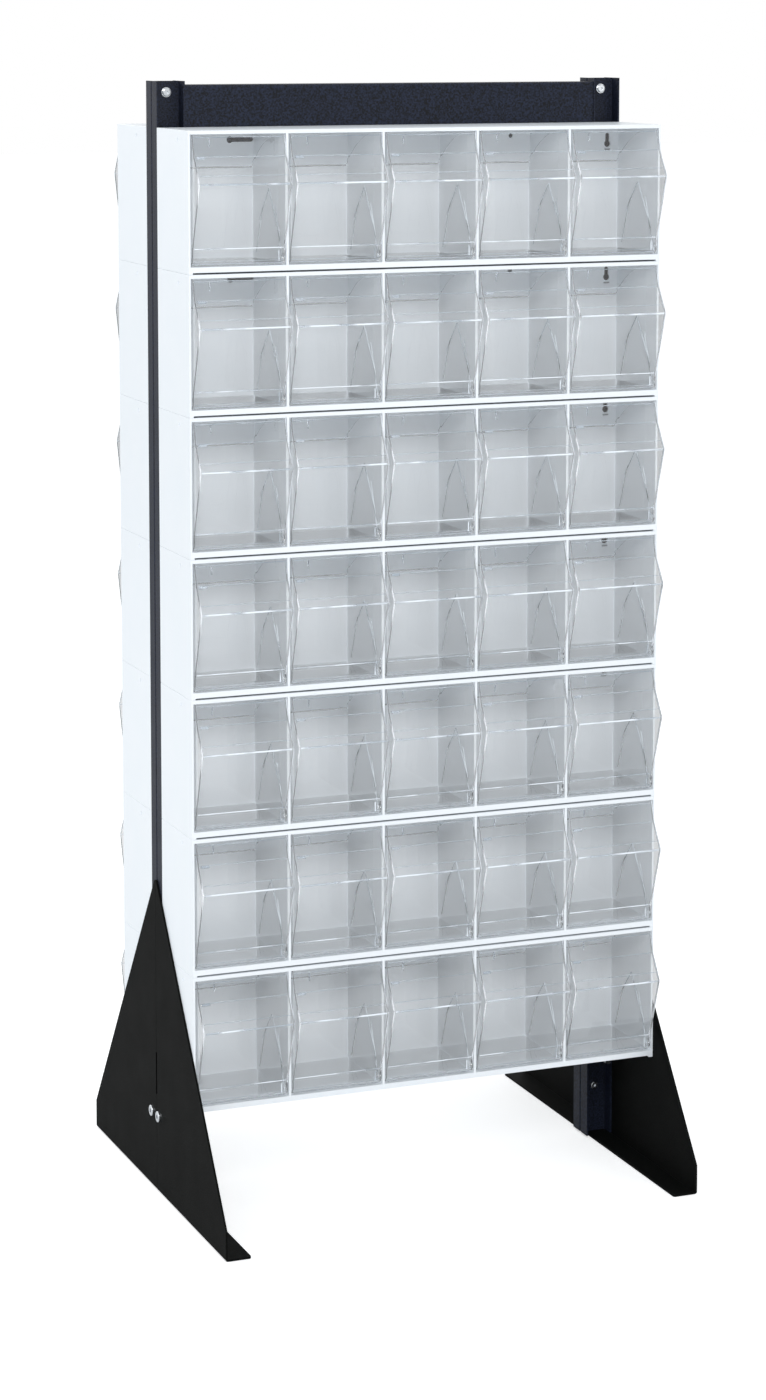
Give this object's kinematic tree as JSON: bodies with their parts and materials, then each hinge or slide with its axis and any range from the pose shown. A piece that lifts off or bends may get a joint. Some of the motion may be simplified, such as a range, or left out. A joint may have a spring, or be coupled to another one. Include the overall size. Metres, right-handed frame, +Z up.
{
  "type": "tip out bin stand",
  "caption": "Free-standing two-sided rack: a black steel frame on splayed leg plates carries rows of white cabinets with clear bins that tip out on pins.",
  "frame": {"origin": "on the floor, under the middle of the stand", "axes": "+X to the right seen from the front, -Y out of the front bins, +Z up"},
  "size_m": [0.6134, 0.508, 1.3462],
  "materials": {
    "cabinet_plastic": "moulded, smooth",
    "bin_clear": "clear, polished",
    "frame_paint": "fine textured powder coat",
    "fastener_zinc": "bright zinc plate",
    "hanger_steel": "zinc plated strip"
  },
  "bodies": {
    "stand": {"front_cabinet_row1": "cabinet_plastic", "front_cabinet_row2": "cabinet_plastic", "front_cabinet_row3": "cabinet_plastic", "front_cabinet_row4": "cabinet_plastic", "front_cabinet_row5": "cabinet_plastic", "front_cabinet_row6": "cabinet_plastic", "front_cabinet_row7": "cabinet_plastic", "rear_cabinets": "cabinet_plastic", "left_upright": "frame_paint", "right_upright": "frame_paint", "top_crossbar": "frame_paint", "lower_crossbar": "frame_paint", "left_front_leg": "frame_paint", "left_rear_leg": "frame_paint", "right_front_leg": "frame_paint", "right_rear_leg": "frame_paint", "frame_bolts": "fastener_zinc", "cabinet_hangers": "hanger_steel"},
    "front_bin_r1_c1": {"front_bin_r1_c1": "bin_clear"},
    "front_bin_r1_c2": {"front_bin_r1_c2": "bin_clear"},
    "front_bin_r1_c3": {"front_bin_r1_c3": "bin_clear"},
    "front_bin_r1_c4": {"front_bin_r1_c4": "bin_clear"},
    "front_bin_r1_c5": {"front_bin_r1_c5": "bin_clear"},
    "front_bin_r2_c1": {"front_bin_r2_c1": "bin_clear"},
    "front_bin_r2_c2": {"front_bin_r2_c2": "bin_clear"},
    "front_bin_r2_c3": {"front_bin_r2_c3": "bin_clear"},
    "front_bin_r2_c4": {"front_bin_r2_c4": "bin_clear"},
    "front_bin_r2_c5": {"front_bin_r2_c5": "bin_clear"},
    "front_bin_r3_c1": {"front_bin_r3_c1": "bin_clear"},
    "front_bin_r3_c2": {"front_bin_r3_c2": "bin_clear"},
    "front_bin_r3_c3": {"front_bin_r3_c3": "bin_clear"},
    "front_bin_r3_c4": {"front_bin_r3_c4": "bin_clear"},
    "front_bin_r3_c5": {"front_bin_r3_c5": "bin_clear"},
    "front_bin_r4_c1": {"front_bin_r4_c1": "bin_clear"},
    "front_bin_r4_c2": {"front_bin_r4_c2": "bin_clear"},
    "front_bin_r4_c3": {"front_bin_r4_c3": "bin_clear"},
    "front_bin_r4_c4": {"front_bin_r4_c4": "bin_clear"},
    "front_bin_r4_c5": {"front_bin_r4_c5": "bin_clear"},
    "front_bin_r5_c1": {"front_bin_r5_c1": "bin_clear"},
    "front_bin_r5_c2": {"front_bin_r5_c2": "bin_clear"},
    "front_bin_r5_c3": {"front_bin_r5_c3": "bin_clear"},
    "front_bin_r5_c4": {"front_bin_r5_c4": "bin_clear"},
    "front_bin_r5_c5": {"front_bin_r5_c5": "bin_clear"},
    "front_bin_r6_c1": {"front_bin_r6_c1": "bin_clear"},
    "front_bin_r6_c2": {"front_bin_r6_c2": "bin_clear"},
    "front_bin_r6_c3": {"front_bin_r6_c3": "bin_clear"},
    "front_bin_r6_c4": {"front_bin_r6_c4": "bin_clear"},
    "front_bin_r6_c5": {"front_bin_r6_c5": "bin_clear"},
    "front_bin_r7_c1": {"front_bin_r7_c1": "bin_clear"},
    "front_bin_r7_c2": {"front_bin_r7_c2": "bin_clear"},
    "front_bin_r7_c3": {"front_bin_r7_c3": "bin_clear"},
    "front_bin_r7_c4": {"front_bin_r7_c4": "bin_clear"},
    "front_bin_r7_c5": {"front_bin_r7_c5": "bin_clear"},
    "rear_bins_row1": {"rear_bins_row1": "bin_clear"},
    "rear_bins_row2": {"rear_bins_row2": "bin_clear"},
    "rear_bins_row3": {"rear_bins_row3": "bin_clear"},
    "rear_bins_row4": {"rear_bins_row4": "bin_clear"},
    "rear_bins_row5": {"rear_bins_row5": "bin_clear"},
    "rear_bins_row6": {"rear_bins_row6": "bin_clear"},
    "rear_bins_row7": {"rear_bins_row7": "bin_clear"}
  },
  "joints": [
    {"name": "front_bin_r1_c1_tip", "type": "hinge", "parent": "stand", "child": "front_bin_r1_c1", "pos_m": [-0.23928, -0.1264, 1.1445], "axis": [1, 0, 0], "range_deg": [0, 42]},
    {"name": "front_bin_r1_c2_tip", "type": "hinge", "parent": "stand", "child": "front_bin_r1_c2", "pos_m": [-0.11964, -0.1264, 1.1445], "axis": [1, 0, 0], "range_deg": [0, 42]},
    {"name": "front_bin_r1_c3_tip", "type": "hinge", "parent": "stand", "child": "front_bin_r1_c3", "pos_m": [0, -0.1264, 1.1445], "axis": [1, 0, 0], "range_deg": [0, 42]},
    {"name": "front_bin_r1_c4_tip", "type": "hinge", "parent": "stand", "child": "front_bin_r1_c4", "pos_m": [0.11964, -0.1264, 1.1445], "axis": [1, 0, 0], "range_deg": [0, 42]},
    {"name": "front_bin_r1_c5_tip", "type": "hinge", "parent": "stand", "child": "front_bin_r1_c5", "pos_m": [0.23928, -0.1264, 1.1445], "axis": [1, 0, 0], "range_deg": [0, 42]},
    {"name": "front_bin_r2_c1_tip", "type": "hinge", "parent": "stand", "child": "front_bin_r2_c1", "pos_m": [-0.23928, -0.1264, 0.9794], "axis": [1, 0, 0], "range_deg": [0, 42]},
    {"name": "front_bin_r2_c2_tip", "type": "hinge", "parent": "stand", "child": "front_bin_r2_c2", "pos_m": [-0.11964, -0.1264, 0.9794], "axis": [1, 0, 0], "range_deg": [0, 42]},
    {"name": "front_bin_r2_c3_tip", "type": "hinge", "parent": "stand", "child": "front_bin_r2_c3", "pos_m": [0, -0.1264, 0.9794], "axis": [1, 0, 0], "range_deg": [0, 42]},
    {"name": "front_bin_r2_c4_tip", "type": "hinge", "parent": "stand", "child": "front_bin_r2_c4", "pos_m": [0.11964, -0.1264, 0.9794], "axis": [1, 0, 0], "range_deg": [0, 42]},
    {"name": "front_bin_r2_c5_tip", "type": "hinge", "parent": "stand", "child": "front_bin_r2_c5", "pos_m": [0.23928, -0.1264, 0.9794], "axis": [1, 0, 0], "range_deg": [0, 42]},
    {"name": "front_bin_r3_c1_tip", "type": "hinge", "parent": "stand", "child": "front_bin_r3_c1", "pos_m": [-0.23928, -0.1264, 0.8143], "axis": [1, 0, 0], "range_deg": [0, 42]},
    {"name": "front_bin_r3_c2_tip", "type": "hinge", "parent": "stand", "child": "front_bin_r3_c2", "pos_m": [-0.11964, -0.1264, 0.8143], "axis": [1, 0, 0], "range_deg": [0, 42]},
    {"name": "front_bin_r3_c3_tip", "type": "hinge", "parent": "stand", "child": "front_bin_r3_c3", "pos_m": [0, -0.1264, 0.8143], "axis": [1, 0, 0], "range_deg": [0, 42]},
    {"name": "front_bin_r3_c4_tip", "type": "hinge", "parent": "stand", "child": "front_bin_r3_c4", "pos_m": [0.11964, -0.1264, 0.8143], "axis": [1, 0, 0], "range_deg": [0, 42]},
    {"name": "front_bin_r3_c5_tip", "type": "hinge", "parent": "stand", "child": "front_bin_r3_c5", "pos_m": [0.23928, -0.1264, 0.8143], "axis": [1, 0, 0], "range_deg": [0, 42]},
    {"name": "front_bin_r4_c1_tip", "type": "hinge", "parent": "stand", "child": "front_bin_r4_c1", "pos_m": [-0.23928, -0.1264, 0.6492], "axis": [1, 0, 0], "range_deg": [0, 42]},
    {"name": "front_bin_r4_c2_tip", "type": "hinge", "parent": "stand", "child": "front_bin_r4_c2", "pos_m": [-0.11964, -0.1264, 0.6492], "axis": [1, 0, 0], "range_deg": [0, 42]},
    {"name": "front_bin_r4_c3_tip", "type": "hinge", "parent": "stand", "child": "front_bin_r4_c3", "pos_m": [0, -0.1264, 0.6492], "axis": [1, 0, 0], "range_deg": [0, 42]},
    {"name": "front_bin_r4_c4_tip", "type": "hinge", "parent": "stand", "child": "front_bin_r4_c4", "pos_m": [0.11964, -0.1264, 0.6492], "axis": [1, 0, 0], "range_deg": [0, 42]},
    {"name": "front_bin_r4_c5_tip", "type": "hinge", "parent": "stand", "child": "front_bin_r4_c5", "pos_m": [0.23928, -0.1264, 0.6492], "axis": [1, 0, 0], "range_deg": [0, 42]},
    {"name": "front_bin_r5_c1_tip", "type": "hinge", "parent": "stand", "child": "front_bin_r5_c1", "pos_m": [-0.23928, -0.1264, 0.4841], "axis": [1, 0, 0], "range_deg": [0, 42]},
    {"name": "front_bin_r5_c2_tip", "type": "hinge", "parent": "stand", "child": "front_bin_r5_c2", "pos_m": [-0.11964, -0.1264, 0.4841], "axis": [1, 0, 0], "range_deg": [0, 42]},
    {"name": "front_bin_r5_c3_tip", "type": "hinge", "parent": "stand", "child": "front_bin_r5_c3", "pos_m": [0, -0.1264, 0.4841], "axis": [1, 0, 0], "range_deg": [0, 42]},
    {"name": "front_bin_r5_c4_tip", "type": "hinge", "parent": "stand", "child": "front_bin_r5_c4", "pos_m": [0.11964, -0.1264, 0.4841], "axis": [1, 0, 0], "range_deg": [0, 42]},
    {"name": "front_bin_r5_c5_tip", "type": "hinge", "parent": "stand", "child": "front_bin_r5_c5", "pos_m": [0.23928, -0.1264, 0.4841], "axis": [1, 0, 0], "range_deg": [0, 42]},
    {"name": "front_bin_r6_c1_tip", "type": "hinge", "parent": "stand", "child": "front_bin_r6_c1", "pos_m": [-0.23928, -0.1264, 0.319], "axis": [1, 0, 0], "range_deg": [0, 42]},
    {"name": "front_bin_r6_c2_tip", "type": "hinge", "parent": "stand", "child": "front_bin_r6_c2", "pos_m": [-0.11964, -0.1264, 0.319], "axis": [1, 0, 0], "range_deg": [0, 42]},
    {"name": "front_bin_r6_c3_tip", "type": "hinge", "parent": "stand", "child": "front_bin_r6_c3", "pos_m": [0, -0.1264, 0.319], "axis": [1, 0, 0], "range_deg": [0, 42]},
    {"name": "front_bin_r6_c4_tip", "type": "hinge", "parent": "stand", "child": "front_bin_r6_c4", "pos_m": [0.11964, -0.1264, 0.319], "axis": [1, 0, 0], "range_deg": [0, 42]},
    {"name": "front_bin_r6_c5_tip", "type": "hinge", "parent": "stand", "child": "front_bin_r6_c5", "pos_m": [0.23928, -0.1264, 0.319], "axis": [1, 0, 0], "range_deg": [0, 42]},
    {"name": "front_bin_r7_c1_tip", "type": "hinge", "parent": "stand", "child": "front_bin_r7_c1", "pos_m": [-0.23928, -0.1264, 0.1539], "axis": [1, 0, 0], "range_deg": [0, 42]},
    {"name": "front_bin_r7_c2_tip", "type": "hinge", "parent": "stand", "child": "front_bin_r7_c2", "pos_m": [-0.11964, -0.1264, 0.1539], "axis": [1, 0, 0], "range_deg": [0, 42]},
    {"name": "front_bin_r7_c3_tip", "type": "hinge", "parent": "stand", "child": "front_bin_r7_c3", "pos_m": [0, -0.1264, 0.1539], "axis": [1, 0, 0], "range_deg": [0, 42]},
    {"name": "front_bin_r7_c4_tip", "type": "hinge", "parent": "stand", "child": "front_bin_r7_c4", "pos_m": [0.11964, -0.1264, 0.1539], "axis": [1, 0, 0], "range_deg": [0, 42]},
    {"name": "front_bin_r7_c5_tip", "type": "hinge", "parent": "stand", "child": "front_bin_r7_c5", "pos_m": [0.23928, -0.1264, 0.1539], "axis": [1, 0, 0], "range_deg": [0, 42]},
    {"name": "rear_bins_row1_tip", "type": "hinge", "parent": "stand", "child": "rear_bins_row1", "pos_m": [0, 0.1264, 1.1445], "axis": [-1, 0, 0], "range_deg": [0, 42]},
    {"name": "rear_bins_row2_tip", "type": "hinge", "parent": "stand", "child": "rear_bins_row2", "pos_m": [0, 0.1264, 0.9794], "axis": [-1, 0, 0], "range_deg": [0, 42]},
    {"name": "rear_bins_row3_tip", "type": "hinge", "parent": "stand", "child": "rear_bins_row3", "pos_m": [0, 0.1264, 0.8143], "axis": [-1, 0, 0], "range_deg": [0, 42]},
    {"name": "rear_bins_row4_tip", "type": "hinge", "parent": "stand", "child": "rear_bins_row4", "pos_m": [0, 0.1264, 0.6492], "axis": [-1, 0, 0], "range_deg": [0, 42]},
    {"name": "rear_bins_row5_tip", "type": "hinge", "parent": "stand", "child": "rear_bins_row5", "pos_m": [0, 0.1264, 0.4841], "axis": [-1, 0, 0], "range_deg": [0, 42]},
    {"name": "rear_bins_row6_tip", "type": "hinge", "parent": "stand", "child": "rear_bins_row6", "pos_m": [0, 0.1264, 0.319], "axis": [-1, 0, 0], "range_deg": [0, 42]},
    {"name": "rear_bins_row7_tip", "type": "hinge", "parent": "stand", "child": "rear_bins_row7", "pos_m": [0, 0.1264, 0.1539], "axis": [-1, 0, 0], "range_deg": [0, 42]}
  ]
}
